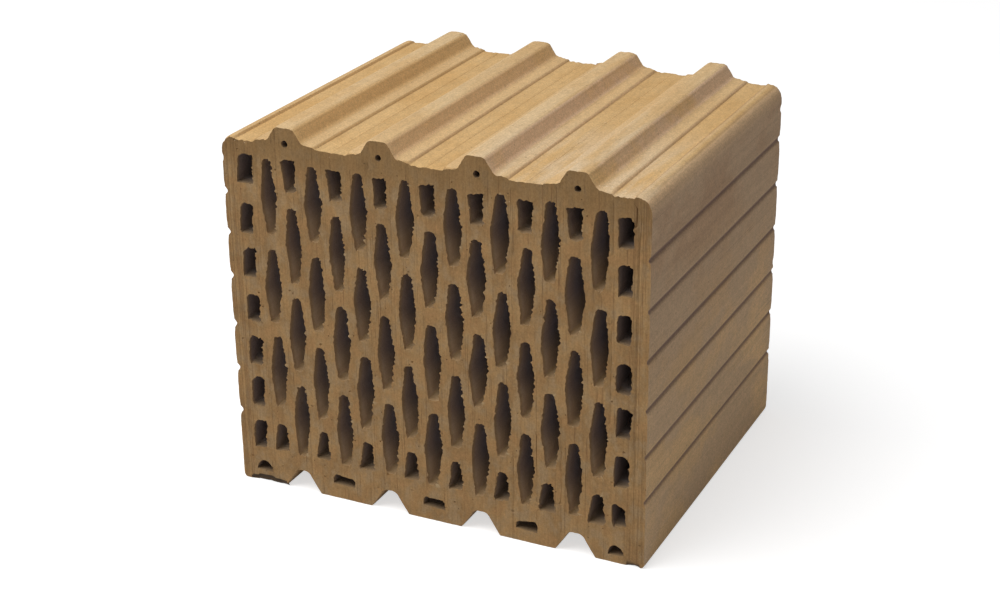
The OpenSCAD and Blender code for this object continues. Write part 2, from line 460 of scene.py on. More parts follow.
def pick_coarse(loop):
    """Numbers of the points that are enough to follow a loop where nothing is torn."""
    picks, length, turn = [0], 0.0, 0.0
    for i in range(1, len(loop) - 1):
        a, b = loop[i] - loop[i - 1], loop[i + 1] - loop[i]
        length += norm(a)
        turn += turn_between(a, b)
        if length > INNER_STEP or turn > INNER_TURN:
            picks.append(i)
            length = turn = 0.0
    return picks


def void_normals(loop):
    """Unit normals that point out of the clay, in the section's plane."""
    along = np.roll(loop, -1, axis=0) - np.roll(loop, 1, axis=0)
    normal = np.stack([along[:, 1], -along[:, 0]], axis=1)
    return normal / norm(normal, axis=1)[:, None]


def inside(points, loops):
    """Which points lie in the clay, by counting the outlines that a ray crosses."""
    odd = np.zeros(len(points), bool)
    for loop in loops:
        (ax, az), (bx, bz) = loop.T, np.roll(loop, -1, axis=0).T
        x, z = points.T
        near = np.where((z >= az.min()) & (z <= az.max()) & (x <= ax.max()))[0]
        x, z = x[near, None], z[near, None]
        rise = np.where(bz == az, 1.0, bz - az)
        crossed = ((az > z) != (bz > z)) & (ax + (z - az) * (bx - ax) / rise > x)
        odd[near] ^= (np.sum(crossed, axis=1) % 2).astype(bool)
    return odd


def point_tree(loop):
    """Search tree of the points of a loop."""
    tree = KDTree(len(loop))
    for k, p in enumerate(loop):
        tree.insert((*p, 0.0), k)
    tree.balance()
    return tree


# ---- The outer outline ----

def lower_steps(loop):
    """Raises the troughs, so that the steps beside them are lower."""
    x, z = loop.T
    in_trough = (np.abs(x) < STEP_INSIDE_X) & (z > TROUGH_Z - FLAT) & (z < STEP_TOP_Z)
    return np.column_stack([x, np.where(in_trough, STEP_TOP_Z - STEP_KEPT * (STEP_TOP_Z - z), z)])


def with_seams(loop):
    """Cuts the fine seams into the top of the outer outline, which runs from right to left there."""
    points = []
    for here, after in zip(loop, np.roll(loop, -1, axis=0)):
        level = here[1] > SEAM_LEAST_Z and abs(here[1] - after[1]) < FLAT
        if not (level and any(abs(here[0] - s) < SEAM_HALF_W for s in SEAMS_X)):
            points.append(here)
        for s in SEAMS_X:
            if level and after[0] <= s < here[0]:
                z = here[1]
                points += [(s + SEAM_HALF_W, z), (s, z - SEAM_DEPTH), (s - SEAM_HALF_W, z)]
    return np.array(points)


def soften_keys(loop):
    """Moves the key grooves in the side faces, makes them creases and rounds their lips."""
    loop = loop.copy()
    z = np.arange(KEY_LOW, KEY_HIGH, KEY_SAMPLE)
    reach = round(4.0 * KEY_SOFT / KEY_SAMPLE)
    bell = np.exp(-0.5 * (np.arange(-reach, reach + 1) * KEY_SAMPLE / KEY_SOFT) ** 2)
    for side in (-1, 1):
        here = (loop[:, 0] * side > KEY_INSIDE_X) & (loop[:, 1] > KEY_LOW) & (loop[:, 1] < KEY_HIGH)
        loop[here, 1] += np.interp(loop[here, 1], KEY_HEIGHTS, KEY_MOVES[side])
        flat_x = np.abs(loop[here, 0]).max()
        grooved = np.where(here & (loop[:, 0] * side < KEY_FLAT_X))[0]
        for groove in np.split(grooved, np.where(np.diff(grooved) > 1)[0] + 1):
            top = loop[groove, 1].max()
            middle = (loop[groove, 1].min() + top) / 2
            share = 1.0 - np.abs(loop[groove, 1] - middle) / (top - middle)
            loop[groove, 0] = side * (flat_x - KEY_DEPTH[side] * share)
            loop[groove, 1] = middle + KEY_WIDTH_KEPT[side] * (loop[groove, 1] - middle)
        points = loop[here][np.argsort(loop[here][:, 1])]
        x = np.pad(np.interp(z, points[:, 1], points[:, 0]), reach, mode="edge")
        soft = np.convolve(x, bell / bell.sum(), mode="valid")
        loop[here, 0] = np.interp(loop[here, 1], z, soft)
    return loop


def crown(loop):
    """How far each point of a loop stands out from the mean of its neighbourhood."""
    tree = point_tree(loop)
    near = [[k for _, k, _ in tree.find_range((*p, 0.0), CORNER_REACH)] for p in loop]
    return loop - [loop[numbers].mean(axis=0) for numbers in near]


def skin_tear(loop, normal, seed):
    """How far the block's own edge is broken back (-) at a cut face, and its burrs, of which it has none."""
    z = loop[:, 1]
    on_tongue = z > TONGUE_FOOT_Z
    up = np.clip(normal[:, 1], 0.0, 1.0) * np.where(on_tongue, TONGUE_SHARE, 1.0)

    def along_top(shares):
        return shares[0] + shares[1] * up

    crumbled = 0.5 + 0.5 * noise(loop / 0.9, seed)
    jagged = peaks(noise(loop / 2.0, seed + 1), 0.1)
    slow = peaks(noise(loop / 11.0, seed + 2), -0.2)
    stands_out = np.clip(np.sum(crown(loop) * normal, axis=1), 0.0, CORNER_MOST)
    corner = np.where(z < LAND_TOP_Z, LAND_CORNER, np.where(on_tongue, TONGUE_CORNER, along_top(EDGE_CORNER)))
    tear = along_top(EDGE_CRUMBLED) * crumbled + along_top(EDGE_JAGGED) * jagged + along_top(EDGE_SLOW) * slow
    return -(tear + corner * stands_out), np.zeros(len(loop))


# ---- The outlines of the holes ----

def hole_kind(loop):
    """Which of the die's cores made a hole, told by its size and place."""
    low, high = loop.min(axis=0), loop.max(axis=0)
    width, height = high - low
    if width < CORE_MOST_W:
        return "core"
    if high[1] < SLOT_MOST_Z:
        return "slot"
    if height > LONG_LEAST_H:
        return "long"
    if abs(low[0] + high[0]) / 2 > SIDE_COLUMN_X:
        return "side"
    return "upper" if high[1] > UPPER_LEAST_Z else "short"


def square_end(loop, side, power):
    """Pushes the corners of a round end out, at the lower end (-1) or the upper one (1)."""
    middle_x = (loop[:, 0].min() + loop[:, 0].max()) / 2
    end_z = (loop[:, 1] * side).max() * side - side * END_R
    x, z = (loop - [middle_x, end_z]).T
    reach = np.maximum(np.hypot(x, z), 1e-9)
    push = (np.abs(x / reach) ** power + np.abs(z / reach) ** power) ** (-1.0 / power)
    push = np.where(z * side > 0.0, push, 1.0)
    return np.column_stack([middle_x + x * push, end_z + z * push])


def uneven(loop, number):
    """Shifts, leans and presses in a hole a little, each hole in its own way."""
    kind = hole_kind(loop)
    chance = scatter([[number, k] for k in range(8)], SEED_UNEVEN)
    shift, rise, lean, sink = (mean + spread * c for (mean, spread), c in zip(UNEVEN[kind], chance))
    if kind in ("long", "upper"):
        loop = square_end(loop, -1, SQUARE_BELOW)
    if kind in ("long", "short"):
        loop = square_end(loop, 1, SQUARE_ABOVE)
    low, high = loop.min(axis=0), loop.max(axis=0)
    middle, half = (low + high) / 2, (high - low) / 2
    x, z = (loop - middle).T
    slope = ROOF_SLOPE * chance[4]
    for at_x, at_z, more_shift, more_rise, width_kept, height_kept, more_slope in SETTLED:
        if math.hypot(at_x - middle[0], at_z - middle[1]) < SETTLED_NEAR:
            shift, rise, slope = shift + more_shift, rise + more_rise, slope + more_slope
            x, z, half = x * width_kept, z * height_kept, half * [width_kept, height_kept]
    height = z / half[1]
    width, widening = WIDTHS[kind]
    x = x * (width + widening * np.clip(0.5 - height, 0.0, 1.0))
    upper, lower = np.clip(2.0 * height - 1.0, 0.0, 1.0), np.clip(-2.0 * height - 1.0, 0.0, 1.0)
    if kind == "upper":
        x = x * (1.0 + UPPER_FLARE * lower)
    if kind == "side":
        sink = sink + SIDE_CORNER_SINK * np.abs(x / half[0]) ** 3
    dx = shift + lean * height + WIDTH_SPREAD * chance[5] * x
    roof = upper * (slope * x - sink)
    floor = lower * (FLOOR_SLOPE * chance[6] * x + FLOOR_SHIFT * chance[7])
    return np.column_stack([middle[0] + x + dx, middle[1] + z + rise + roof + floor])


def hole_tear(loop, normal, seed):
    """How far the wire dragged a hole's rim into the void (+) or broke it back (-), and the burrs' part of it."""
    right = np.clip(-1.3 * normal[:, 0], 0.0, 1.0)
    over = np.clip(-normal[:, 1], 0.0, 1.0)
    under = np.clip(normal[:, 1], 0.0, 1.0)

    def round_rim(shares):
        return shares[0] + shares[1] * right + shares[2] * over + shares[3] * under

    teeth = round_rim(RIM_ROUGH) * layered(loop, seed, RIM_TEETH)
    burr = round_rim(RIM_BURR) * peaks(noise(loop / 1.2, seed + 2), 0.45)
    nick = round_rim(RIM_NICK) * peaks(noise(loop / 1.6, seed + 3), 0.40)
    patchy = TORN[hole_kind(loop)] * (0.75 + 0.60 * peaks(noise(loop / 8.0, seed + 5), -0.4))
    return np.clip(patchy * (teeth + burr - nick), -TEAR_MOST, TEAR_MOST), patchy * burr


def hole_foot(loop):
    """Share of the way from a hole's top down to its floor. A low slot counts as floor all over."""
    z = loop[:, 1]
    return np.ones(len(z)) if hole_kind(loop) == "slot" else (z.max() - z) / (z.max() - z.min())


def wire_tail(loop, number):
    """The small tail that the wire drew down from a hole's lower left corner."""
    if hole_kind(loop) in ("core", "slot"):
        return np.zeros(len(loop))
    x, z = loop.T
    near_floor = z < z.min() + TAIL_ZONE * (z.max() - z.min())
    corner = np.argmax(np.where(near_floor, -x * 0.8 - z, -np.inf))
    length = TAIL_MEAN + TAIL_SPREAD * scatter([[number, 0]], SEED_TAIL)[0]
    away = norm(loop - loop[corner], axis=1)
    return -max(0.0, length) * np.exp(-(away / TAIL_W) ** 2)


# ---- The walls along the block ----

class Builder:
    """Collects the points, with their burr, painted hole shade and foot marks, and the faces of the block."""

    def __init__(self):
        self.points, self.marks, self.faces, self.zones = [], [], [], []

    def add_points(self, points, marks):
        """Adds points and returns their numbers."""
        first = len(self.points)
        self.points += points.tolist()
        self.marks += marks.tolist()
        return np.arange(first, first + len(points))

    def add_tube(self, rings, zone):
        """Joins rings of as many points by quads."""
        for near, far in zip(rings, rings[1:]):
            quads = np.stack([near, far, np.roll(far, -1), np.roll(near, -1)], axis=1)
            self.faces += quads.tolist()
            self.zones += [zone] * len(quads)

    def add_bridge(self, fine, coarse, picks, zone, fine_first):
        """Joins a fine ring to a coarse one, whose points follow from the picked ones."""
        fine, coarse, ends = fine.tolist(), coarse.tolist(), picks[1:] + [len(fine)]
        for k, (start, end) in enumerate(zip(picks, ends)):
            here, after = coarse[k], coarse[(k + 1) % len(coarse)]
            middle = (start + end) // 2
            made = [(fine[middle % len(fine)], here, after)]
            for j in range(start, end):
                made.append((fine[j], here if j < middle else after, fine[(j + 1) % len(fine)]))
            self.faces += made if fine_first else [face[::-1] for face in made]
            self.zones += [zone] * len(made)


def ring_depths(depth, near, count):
    """Depths of the rings from the front face to the back one, dense near both faces."""
    middle = np.linspace(near[-1], depth - near[-1], count + 2)[1:-1]
    return np.concatenate([near, middle, depth - np.array(near)[::-1]])


def skin_wall(outline, depth):
    """The block's outer wall, with its steps, seams and key grooves as the clay has them."""
    loop = soften_keys(with_seams(subdivide(lower_steps(thin_out(outline)), skin_step)))
    none = np.zeros(len(loop))
    return SimpleNamespace(
        loop=loop, depths=ring_depths(depth, SKIN_DEPTHS, SKIN_RINGS), tear=skin_tear,
        shape=none - SKIN_WAVE, swing=-SKIN_WAVE, wave_seed=SEED_SKIN_WAVE,
        tail=none, hole_shade=none, foot=none, picks=None,
    )


def hole_wall(outline, number, depth):
    """The wall of a perforation, settled in its own way, with few points deep inside."""
    loop = spaced(uneven(subdivide(ease_kinks(thin_out(outline)), hole_step), number))
    bulges = TORN[hole_kind(loop)] * layered(loop, SEED_HOLE_SHAPE, HOLE_BULGES)
    return SimpleNamespace(
        loop=loop, depths=ring_depths(depth, RIM_DEPTHS + [INNER_DEPTH], 0), tear=hole_tear,
        shape=bulges, swing=HOLE_WAVE, wave_seed=SEED_HOLE_WAVE,
        tail=wire_tail(loop, number), hole_shade=np.full(len(loop), HOLE_SHADE[hole_kind(outline)]), foot=hole_foot(loop),
        picks=pick_coarse(loop),
    )


def lay_rings(made, wall, front_y, depth):
    """Adds the rings of points of a wall, torn near the two cut faces, and returns their numbers."""
    loop = wall.loop
    normal = void_normals(loop)
    front_tear, front_burr = wall.tear(loop, normal, SEED_TEAR_FRONT)
    back_tear, back_burr = wall.tear(loop, normal, SEED_TEAR_BACK)
    worn = EDGE_WORN * (1.2 + noise(loop / 3.0, SEED_EDGE))
    wander = EDGE_WANDER * noise(loop / 2.4, SEED_WANDER)
    rings = []
    for d in wall.depths:
        front = max(0.0, 1.0 - d / TEAR_REACH) ** 2
        back = max(0.0, 1.0 - (depth - d) / TEAR_REACH) ** 2
        along = np.column_stack([loop / WAVE_ACROSS, np.full(len(loop), d / WAVE_ALONG)])
        wave = wall.shape + wall.swing * noise(along, wall.wave_seed)
        moved = loop + normal * (wave + front * front_tear + back * back_tear)[:, None]
        moved[:, 1] += (front + back) * wall.tail
        y = front_y + d + worn * (float(d == 0.0) - float(d == depth))
        from_face = min(d, depth - d)
        if 0.0 < from_face < TEAR_REACH:
            y = y + from_face * wander
        burr = front_burr * (d == 0.0) + back_burr * (d == depth)
        ring = np.column_stack([moved[:, 0], y, moved[:, 1]])
        kept = wall.picks if wall.picks and from_face > TEAR_REACH else slice(None)
        rings.append(made.add_points(ring[kept], np.column_stack([burr, wall.hole_shade, wall.foot])[kept]))
    return rings


def join_hole(made, rings, picks):
    """Adds the faces of a perforation: fine rims at both ends, and coarse walls between them."""
    rim = len(RIM_DEPTHS)
    made.add_tube(rings[:rim], BORE)
    made.add_bridge(rings[rim - 1], rings[rim], picks, BORE, True)
    made.add_tube(rings[rim:rim + 2], BORE)
    made.add_bridge(rings[rim + 2], rings[rim + 1], picks, BORE, False)
    made.add_tube(rings[rim + 2:], BORE)


# ---- The cut faces ----

def scattered_pits(low, high, seed):
    """Places, radii and depths of small pits spread over a cut face."""
    chance = [scatter([[k, 0] for k in range(PIT_COUNT)], 10 * seed + n) * 0.5 + 0.5 for n in range(4)]
    x = low[0] + chance[0] * (high[0] - low[0])
    z = low[2] + chance[1] * (high[2] - low[2])
    radius = PIT_RADIUS[0] + PIT_RADIUS[1] * chance[2]
    deep = PIT_DEPTH[0] + PIT_DEPTH[1] * chance[3]
    return list(zip(x, z, radius, deep))


def pit_spots(pits):
    """Points of pits: place in X and Z, depth, and how near the face's grid may come."""
    spots = []
    for x, z, r, deep in pits:
        spots.append((x, z, deep, PIT_CLEAR * r))
        for count, share, depth_share in PIT_RINGS:
            for turn in 2.0 * math.pi / count * np.arange(count):
                spots.append((x + share * r * math.cos(turn), z + share * r * math.sin(turn), deep * depth_share, 0.0))
    return spots


def chip_spots():
    """Points of the front face round the dark chip, given as for the pits."""
    x, z = np.meshgrid(np.arange(*CHIP_X), np.arange(*CHIP_Z))
    return [(a, b, 0.0, CHIP_CLEAR) for a, b in zip(x.ravel(), z.ravel())]


def score_spots():
    """Points of the scores in the front face, given as for the pits."""
    spots = []
    for x, z0, z1, half_w, deep in SCORES:
        for z in np.arange(z0, z1, SCORE_STEP):
            middle = x + SCORE_BEND * noise([[x, z / SCORE_BEND_CELL]], SEED_SCORE)[0]
            spots += [(middle, z, deep, SCORE_CLEAR), (middle - half_w, z, 0.0, 0.0), (middle + half_w, z, 0.0, 0.0)]
    return spots


def face_relief(points, seed):
    """Depth of the slow waves of a cut face below its plane."""
    waves = 0.5 + 0.5 * noise(points / 34.0, seed)
    drag = 0.5 + 0.5 * noise(points / [7.0, 60.0], seed + 1)
    return 0.16 * waves + 0.14 * drag


def add_cut_face(made, loops, ends, y, inward, seed, spots):
    """Fills the clay of a cut face with triangles that carry its relief and its spots."""
    outline = np.concatenate(loops)
    tree = point_tree(outline)

    def clear(points):
        points = points[inside(points[:, :2], loops)]
        return np.array([p for p in points if tree.find((p[0], p[1], 0.0))[2] > FACE_MARGIN])

    lo, hi = outline.min(axis=0), outline.max(axis=0)
    across, up = np.meshgrid(np.arange(lo[0], hi[0], FACE_STEP), np.arange(lo[1], hi[1], FACE_STEP))
    grid = np.column_stack([across.ravel(), up.ravel()])
    cells = np.round(grid)
    grid = clear(grid + FACE_STRAY * FACE_STEP * np.column_stack([scatter(cells, seed), scatter(cells, seed + 40)]))
    details = clear(np.array(spots))
    for x, z, _, apart in details[details[:, 3] > 0.0]:
        grid = grid[np.hypot(grid[:, 0] - x, grid[:, 1] - z) > apart]
    free = np.concatenate([grid, details[:, :2]])
    relief = face_relief(free, seed) + np.concatenate([np.zeros(len(grid)), details[:, 2]])
    places = np.column_stack([free[:, 0], y + inward * relief, free[:, 1]])
    numbers = np.concatenate(ends + [made.add_points(places, np.zeros((len(free), 3)))])
    sides, first = [], 0
    for loop in loops:
        n = len(loop)
        sides += [(first + k, first + (k + 1) % n) for k in range(n)]
        first += n
    sites = [Vector(s) for s in np.concatenate([outline, free])]
    verts, _, triangles, origin, _, _ = delaunay_2d_cdt(sites, sides, [], 0, 1e-6)
    spans = np.array([[verts[c] for c in t] for t in triangles])
    sizes = np.array([abs(area(s)) for s in spans])
    for triangle, keep in zip(triangles, inside(spans.mean(axis=1), loops) & (sizes > SLIVER_AREA)):
        if keep:
            corners = [int(numbers[origin[c][0]]) for c in triangle]
            made.faces.append(corners if inward > 0 else corners[::-1])
            made.zones.append(CUT)


# ---- The dressed block ----

def scoops(points):
    """Pushes points in a chip's ellipsoid out to its surface, and says how dark the painted shadow in the break makes
    them.
    """
    dark = np.zeros(len(points))
    for centre, radii, shade in CHIPS:
        local = (points - centre) / radii
        reach = norm(local, axis=1)
        rough = 1.0 + CHIP_ROUGH * noise(points / CHIP_CELL, SEED_CHIP)
        hit = reach < rough
        scale = (rough[hit] / np.maximum(reach[hit], 1e-6))[:, None]
        points[hit] = centre + radii * local[hit] * scale
        dark[hit] = np.maximum(dark[hit], shade)
    return points, dark


def new_object(name, data):
    """A new object in the scene."""
    thing = bpy.data.objects.new(name, data)
    bpy.context.scene.collection.objects.link(thing)
    return thing


def mesh_object(name, points, made, dark):
    """The object of the collected points and faces, with their marks."""
    mesh = bpy.data.meshes.new(name)
    mesh.from_pydata((points * MM).tolist(), [], made.faces)
    mesh.polygons.foreach_set("material_index", made.zones)
    mesh.polygons.foreach_set("use_smooth", [True] * len(made.faces))
    for key, values in zip(MARKS, np.column_stack([made.marks, dark]).T):
        mesh.attributes.new(key, "FLOAT", "POINT").data.foreach_set("value", np.array(values, np.float32))
    mesh.update()
    mesh.set_sharp_from_angle(angle=SHARP_TURN)
    return new_object(name, mesh)


def build_brick():
    """The dressed block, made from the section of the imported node."""
    outlines = section_loops(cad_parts["brick"])
    low, high = (np.array(corner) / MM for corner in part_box("brick"))
    depth = high[1] - low[1]
    outer = max(range(len(outlines)), key=lambda i: abs(area(outlines[i])))
    made = Builder()
    loops, fronts, backs = [], [], []
    for number, outline in enumerate(outlines):
        wall = skin_wall(outline, depth) if number == outer else hole_wall(outline, number, depth)
        rings = lay_rings(made, wall, low[1], depth)
        if number == outer:
            made.add_tube(rings, SKIN)
        else:
            join_hole(made, rings, wall.picks)
        loops.append(wall.loop)
        fronts.append(rings[0])
        backs.append(rings[-1])
    front_spots = pit_spots(PITS + scattered_pits(low, high, SEED_FACE_FRONT)) + chip_spots() + score_spots()
    back_spots = pit_spots(scattered_pits(low, high, SEED_FACE_BACK))
    add_cut_face(made, loops, fronts, low[1], 1.0, SEED_FACE_FRONT, front_spots)
    add_cut_face(made, loops, backs, high[1], -1.0, SEED_FACE_BACK, back_spots)
    points, dark = scoops(np.array(made.points))
    return mesh_object("brick_dressed", points, made, dark)


# ---- Materials ----

# Clay: how rough it is where it is torn, how little it shines, its burr tips, paler partly as fresh clay and partly as
# a painted highlight, and the painted shadow in its breaks
CLAY_ROUGH = 0.93
CLAY_SPECULAR = 0.2
# Burr tips are paler, partly as fresh clay and partly as a painted highlight
BURR_TIP = (0.56, 0.42, 0.245)
# Painted shadow: the breaks of the chips are darkened
BREAK_SHADOW = (0.055, 0.038, 0.028)

# Extruded skin
SAND, PALE_SAND = (0.56, 0.345, 0.14), (0.605, 0.398, 0.182)
# Side faces: lighter low down and darker and greyer upwards, as painted light and shade, and lighter towards the back;
# the left face gets a more even tone
SIDE_LOW_FRONT, SIDE_LOW_BACK = (0.67, 0.436, 0.223), (0.795, 0.517, 0.264)
SIDE_HIGH = (0.475, 0.303, 0.181)
SIDE_BLOTCH = (0.56, 0.39, 0.245)
SIDE_LEFT = (0.59, 0.385, 0.205)
# Painted shade in the key grooves of the side faces
GROOVE_DARK = (0.195, 0.122, 0.098)
SCRATCH_PALE, SCRATCH_DARK = (0.69, 0.52, 0.33), (0.25, 0.16, 0.105)
# Painted sheen on the rounded edges between the top and the sides
EDGE_SHEEN = (0.64, 0.43, 0.255)
TONGUE_PALE, TONGUE_PATCH = (0.64, 0.455, 0.26), (0.66, 0.5, 0.3)
SHOULDER_PALE = (0.66, 0.48, 0.28)
# Painted shade on the steps beside the troughs
STEP_DARK = (0.31, 0.18, 0.08)
# Painted sheen: pale patches on the front of the top's right half
RIGHT_SHEEN = (0.65, 0.49, 0.31)
# Painted light: the tongues' flanks that face right get a lighter, warmer colour, with cooler patches
FLANK_WARM, FLANK_COOL = (0.68, 0.435, 0.195), (0.675, 0.468, 0.315)
PINHOLE_DARK = (0.22, 0.13, 0.06)
SPECK_PALE, CRUMB_PALE = (0.8, 0.7, 0.5), (0.84, 0.74, 0.54)

# Wire-cut faces
CUT_BROWN, CUT_SAND = (0.325, 0.192, 0.082), (0.415, 0.25, 0.108)
CUT_GREY, CUT_RED = (0.37, 0.25, 0.135), (0.4, 0.222, 0.092)
CUT_TOP = (0.255, 0.15, 0.06)
CUT_LINE, CUT_PIT = (0.2, 0.1, 0.045), (0.12, 0.065, 0.03)
CUT_SPECK = (0.62, 0.48, 0.31)

# Walls and floors of the perforations: at the mouth, behind it and far in, with painted light and shade: lighter and
# greyer far in, lighter low on the walls and on the floors, darker in holes that get little light
WALL_MOUTH, WALL_NEAR, WALL_DEEP = (0.35, 0.222, 0.118), (0.335, 0.245, 0.195), (0.34, 0.3, 0.325)
WALL_SHADED, WALL_FOOT = (0.2, 0.158, 0.155), (0.625, 0.478, 0.31)
FLOOR_MOUTH, FLOOR_NEAR = (0.33, 0.213, 0.106), (0.48, 0.34, 0.192)
SHADED_FLOOR_MOUTH, SHADED_FLOOR_NEAR, SHADED_FLOOR_DEEP = (0.215, 0.142, 0.076), (0.165, 0.118, 0.08), (0.26, 0.22, 0.205)


class Graph:
    """Adds nodes to a material's tree and links them."""

    def __init__(self, name):
        self.material = bpy.data.materials.new(name)
        self.material.use_nodes = True
        self.tree = self.material.node_tree
        self.shader = self.tree.nodes["Principled BSDF"]
        self.place = self.add("TexCoord").outputs["Object"]

    def add(self, kind, inputs=None, **settings):
        """A new shader node of a kind, with its settings and inputs."""
        node = self.tree.nodes.new("ShaderNode" + kind)
        for key, value in settings.items():
            setattr(node, key, value)
        self.feed(node, inputs or {})
        return node

    def feed(self, node, inputs):
        """Links a node's inputs to sockets, or sets them to numbers, vectors or colours."""
        for key, value in inputs.items():
            socket = node.inputs[key]
            if isinstance(value, bpy.types.NodeSocket):
                self.tree.links.new(value, socket)
            else:
                socket.default_value = (*value, 1.0) if socket.type == "RGBA" else value

    def math(self, operation, a, b=0.0):
        return self.add("Math", {0: a, 1: b}, operation=operation).outputs[0]

    def most(self, a, b):
        return self.math("MAXIMUM", a, b)

    def times(self, *values):
        total = values[0]
        for value in values[1:]:
            total = self.math("MULTIPLY", total, value)
        return total

    def split(self, vector):
        return self.add("SeparateXYZ", {0: vector}).outputs

    def facing(self):
        """The way that the surface faces, in X, Y and Z."""
        return self.split(self.add("NewGeometry").outputs["Normal"])

    def scaled(self, cell):
        """Place in cells that measure the given lengths in millimetres along X, Y and Z."""
        shares = [1.0 / (MM * length) for length in cell]
        return self.add("VectorMath", {0: self.place, 1: shares}, operation="MULTIPLY").outputs[0]

    def noise(self, cell, detail=3.0, rough=0.55):
        """Noise with cells of the given lengths in millimetres."""
        inputs = {"Vector": self.scaled(cell), "Scale": 1.0, "Detail": detail, "Roughness": rough}
        return self.add("TexNoise", inputs).outputs[0]

    def dots(self, cell, radius, share):
        """Round spots of a radius in millimetres, in a share of the cells of a given size."""
        node = self.add("TexVoronoi", {"Vector": self.scaled((cell, cell, cell)), "Scale": 1.0})
        spot = self.ramp(node.outputs["Distance"], radius / cell, 0.55 * radius / cell)
        chosen = self.math("LESS_THAN", self.split(node.outputs["Color"])[0], share)
        return self.times(spot, chosen)

    def ramp(self, value, low, high, to_low=0.0, to_high=1.0):
        """A smooth step, which starts at low and ends at high."""
        inputs = {"Value": value, "From Min": low, "From Max": high, "To Min": to_low, "To Max": to_high}
        return self.add("MapRange", inputs, interpolation_type="SMOOTHSTEP").outputs[0]

    def zone(self, length, start, end, to_start=0.0, to_end=1.0):
        """A smooth step along a length, which starts and ends at the given millimetres."""
        return self.ramp(length, start * MM, end * MM, to_start, to_end)

    def coats(self, colour, *coats):
        """Lays colours over a first one, each given with the masks and shares that let it show."""
        for over, *masks in coats:
            inputs = {0: self.times(*masks), 6: colour, 7: over}
            colour = self.add("Mix", inputs, data_type="RGBA").outputs[2]
        return colour

    def tones(self, colour, *shades):
        """Darkens and lightens a colour by shares, with noises that mostly lie between 0.3 and 0.7."""
        for value, share in shades:
            inputs = {"Value": value, "From Min": 0.3, "From Max": 0.7, "To Min": 1.0 - share, "To Max": 1.0 + share}
            shade = self.add("MapRange", inputs).outputs[0]
            grey = self.add("CombineXYZ", {i: shade for i in range(3)}).outputs[0]
            colour = self.add("VectorMath", {0: colour, 1: grey}, operation="MULTIPLY").outputs[0]
        return colour

    def painted(self, key):
        """A value that the mesh carries at its points."""
        return self.add("Attribute", attribute_name=key, attribute_type="GEOMETRY").outputs["Fac"]

    def relief(self, layers):
        """Bumps on top of each other, each given as a height from 0 to 1 and its size in millimetres."""
        normal = None
        for height, size in layers:
            node = self.add("Bump", {"Height": height, "Distance": size * MM, "Strength": 1.0})
            if normal is not None:
                self.feed(node, {"Normal": normal})
            normal = node.outputs[0]
        return normal

    def finish(self, colour, roughness, *layers):
        """Adds pale burr tips, partly fresh clay and partly a painted highlight, the painted shadow in the breaks and
        the relief, and returns the material.
        """
        # Burr tips: paler, partly fresh clay and partly a painted highlight
        burr = self.ramp(self.painted("burr"), 0.25, 0.9, 0.0, 0.55)
        # Painted shadow: where a chip broke away, the break is darkened
        broken = self.ramp(self.painted("broken"), 0.1, 0.95, 0.0, 0.92)
        colour = self.coats(colour, (BURR_TIP, burr), (BREAK_SHADOW, broken))
        self.feed(self.shader, {"Base Color": colour, "Roughness": roughness, "Specular IOR Level": CLAY_SPECULAR})
        self.feed(self.shader, {"Normal": self.relief(layers)})
        return self.material


def side_colour(g, x, y, z, blotch):
    """Colour of the two side faces: lighter low down and darker upwards, as painted light and shade, with painted
    shade in the key grooves and scratches along the block.
    """
    outward = g.math("ABSOLUTE", x)
    # Painted shade: the key grooves are darkened where shade falls in them
    groove = g.times(g.zone(outward, 149.8, 148.6), g.zone(z, 12, 18), g.zone(z, 238, 236))
    pale_scratch = g.ramp(g.noise((1.3, 330, 1.3), 2), 0.66, 0.76)
    dark_scratch = g.ramp(g.noise((1.1, 260, 1.1), 1), 0.68, 0.78)
    return g.coats(
        SIDE_LOW_FRONT,
        (SIDE_LOW_BACK, g.zone(y, -100, 100)),
        # Painted shade: the side faces darken upwards, and are lighter low down
        (SIDE_HIGH, g.zone(z, 50, 235)),
        (SIDE_BLOTCH, g.ramp(blotch, 0.4, 0.62, 0.0, 0.7)),
        (SIDE_LEFT, g.zone(x, 50, -50, 0.0, 0.8)),
        (GROOVE_DARK, groove, 0.78),
        (SCRATCH_PALE, pale_scratch, 0.5),
        (SCRATCH_DARK, dark_scratch, 0.5),
    )


def top_coats(g, facing, x, y, z, blotch):
    """The paler tongues and shoulders of the top, pale patches on its right half that are a painted sheen, painted
    shade on its steps, and painted light on the tongues' flanks that face right, with cooler patches.
    """
    patches = g.ramp(g.noise((14, 90, 14)), 0.38, 0.62)
    on_tongue = g.zone(z, 259, 261.8)
    shoulder = g.times(g.zone(z, 251.4, 252), g.zone(z, 255, 254), g.ramp(facing[2], 0.7, 0.95))
    # Painted shade: the step walls beside the troughs are darkened
    step = g.times(g.zone(z, 250.2, 250.7), g.zone(z, 252.4, 251.9), g.ramp(facing[2], 0.97, 0.85))
    # Painted sheen: pale patches on the flats of the right half, towards the front
    right_half = g.times(g.zone(x, 20, 50), g.zone(z, 249, 250), g.ramp(facing[2], 0.6, 0.9))
    front_part = g.zone(y, 30, -90)
    # Painted light: flanks that face right, away from the lamp, are made lighter
    flank = g.times(g.ramp(facing[0], 0.3, 0.6), g.zone(z, 250, 253))
    cool = g.times(flank, g.zone(x, -60, 20), g.ramp(blotch, 0.3, 0.55))
    return [
        (TONGUE_PALE, on_tongue, 0.35),
        (TONGUE_PATCH, on_tongue, patches, 0.40),
        (SHOULDER_PALE, shoulder, 0.35),
        (STEP_DARK, step, 0.55),
        (RIGHT_SHEEN, right_half, front_part, patches, 0.8),
        (FLANK_WARM, flank, 0.85),
        (FLANK_COOL, cool, 0.75),
    ]


